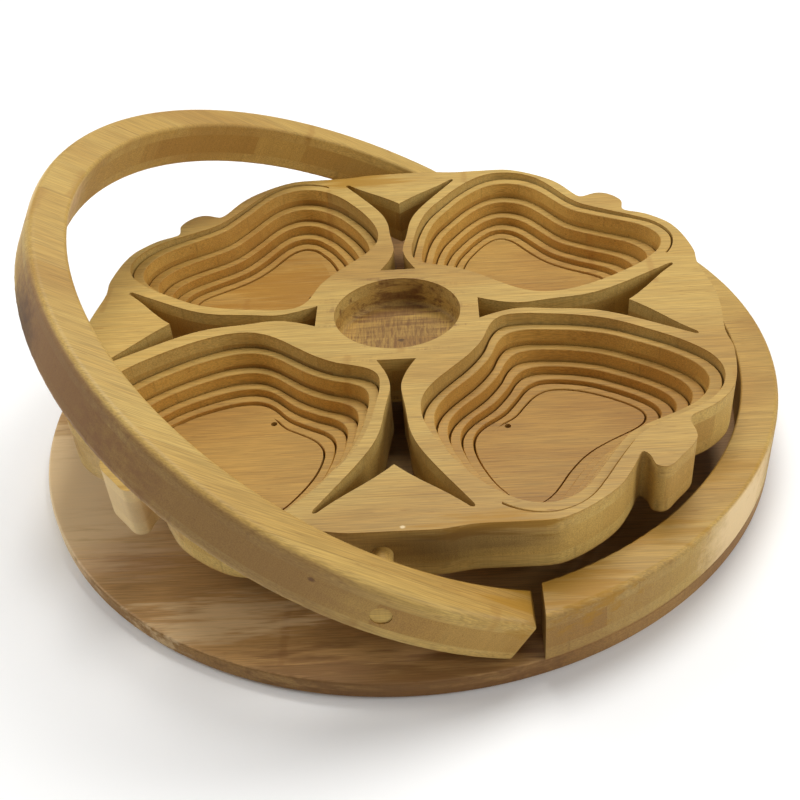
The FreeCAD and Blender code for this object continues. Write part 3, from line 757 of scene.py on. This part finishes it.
def make_strip(name, degrees):
    """One bowl's strip, which sinks along its length by the drop share times the lift. Attribute
    board_place keeps each point's place in the flat board that the strip was cut from, and sunk
    keeps its drop share."""
    turns = np.concatenate(([-START_LAP], np.linspace(0, TURNS, TURNS * STEPS_PER_TURN + 1)))
    flat = flat_strip(turns, degrees)
    share = drop_share(turns)

    mesh = bpy.data.meshes.new(name)
    # Laid out straight first: x is where the smooth step 3x^2 - 2x^3 reaches the drop's share
    reach = 0.5 - np.sin(np.arcsin(1 - 2 * share) / 3)
    straight = flat.copy()
    straight[:, :, 0] = reach[:, None]
    straight[:, :, 1] = np.arange(flat.shape[1])[None, :]
    mesh.from_pydata(straight.reshape(-1, 3).tolist(), [], sweep_grid(flat))
    piece = add_piece(name, mesh)
    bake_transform(piece)

    wound = flat.copy()
    wound[:, :, 2] += tray_low.z - LIFT * share[:, None]
    wound[0, :, 2] -= START_TUCK
    mesh.vertices.foreach_set("co", wound.reshape(-1).astype(np.float32))
    board_place = mesh.attributes.new("board_place", "FLOAT_VECTOR", "POINT")
    board_place.data.foreach_set("vector", flat.reshape(-1).astype(np.float32))
    sunk = mesh.attributes.new("sunk", "FLOAT", "POINT")
    sunk.data.foreach_set("value", np.repeat(share, flat.shape[1]).astype(np.float32))
    mesh.update()
    mesh.shade_smooth()
    mesh.set_sharp_from_angle(angle=SHARP_ANGLE)
    return piece


for bowl, degrees in BOWLS:
    strip = make_strip(f"{bowl}_strip", degrees)
    strip.data.materials.append(strip_material)
    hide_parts(*[f"{bowl}_turn_{turn}" for turn in range(1, TURNS + 1)])
    dress(f"{bowl}_floor", floor_material)


# --- Studio --------------------------------------------------------------------------------

STUDIO_REACH = 6
STUDIO_FLOOR_HEIGHT = -0.1 * MM
STUDIO_WHITE = (0.93, 0.93, 0.92, 1)
STUDIO_ROUGHNESS = 0.9
WORLD_WHITE = (1, 1, 1, 1)
WORLD_STRENGTH = 0.32
LIGHT_AIM = (0, 0, 0.02)
# Each light's name, place, diameter and power
LIGHTS = (
    ("high_light", (0.15, 0.42, 1.15), 0.7, 11.5),
    ("left_light", (-1.2, 0.25, 0.65), 0.6, 6.5),
    ("right_light", (1.1, -0.45, 0.55), 0.7, 6),
)


def studio_floor():
    """A plain pale floor, just under the base board."""
    mesh = bpy.data.meshes.new("studio_floor")
    corners = [(x * STUDIO_REACH, y * STUDIO_REACH, STUDIO_FLOOR_HEIGHT)
               for x, y in ((-1, -1), (1, -1), (1, 1), (-1, 1))]
    mesh.from_pydata(corners, [], [(0, 1, 2, 3)])
    piece = add_piece("studio_floor", mesh)
    material = bpy.data.materials.new("studio_white")
    material.use_nodes = True
    shader = material.node_tree.nodes["Principled BSDF"]
    shader.inputs["Base Color"].default_value = STUDIO_WHITE
    shader.inputs["Roughness"].default_value = STUDIO_ROUGHNESS
    mesh.materials.append(material)


def studio_light(name, place, size, power):
    """A soft round light that faces the server."""
    lamp = bpy.data.lights.new(name, "AREA")
    lamp.shape = "DISK"
    lamp.size = size
    lamp.energy = power
    piece = add_piece(name, lamp)
    piece.location = place
    piece.rotation_mode = "QUATERNION"
    piece.rotation_quaternion = (Vector(LIGHT_AIM) - Vector(place)).to_track_quat("-Z", "Y")


def studio_camera(elevation, heading, roll, distance, aim, lens):
    """A camera that looks at aim from this far away. The heading turns it round the upright, and the
    roll turns its frame."""
    around = Matrix.Rotation(math.radians(heading), 3, "Z")
    e, r = math.radians(elevation), math.radians(roll)
    back = around @ Vector((0, -math.cos(e), math.sin(e)))
    right = around @ Vector((1, 0, 0))
    up = back.cross(right)
    axes = (math.cos(r) * right + math.sin(r) * up, -math.sin(r) * right + math.cos(r) * up, back)
    turn = Matrix(axes).transposed().to_4x4()
    data = bpy.data.cameras.new("studio_camera")
    data.lens = lens
    camera = add_piece("studio_camera", data)
    camera.matrix_world = Matrix.Translation(around @ Vector(aim) + back * distance) @ turn
    bpy.context.scene.camera = camera


def studio_world():
    """An even white surround."""
    world = bpy.data.worlds.new("studio")
    world.use_nodes = True
    background = world.node_tree.nodes["Background"]
    background.inputs["Color"].default_value = WORLD_WHITE
    background.inputs["Strength"].default_value = WORLD_STRENGTH
    bpy.context.scene.world = world


studio_floor()
studio_camera(elevation=37.773, heading=3.581, roll=-5.068, distance=466.94 * MM,
              aim=(-1.946 * MM, 7.281 * MM, 0), lens=47.898)
for name, place, size, power in LIGHTS:
    studio_light(name, place, size, power)
studio_world()
bpy.context.scene.view_settings.view_transform = "Standard"
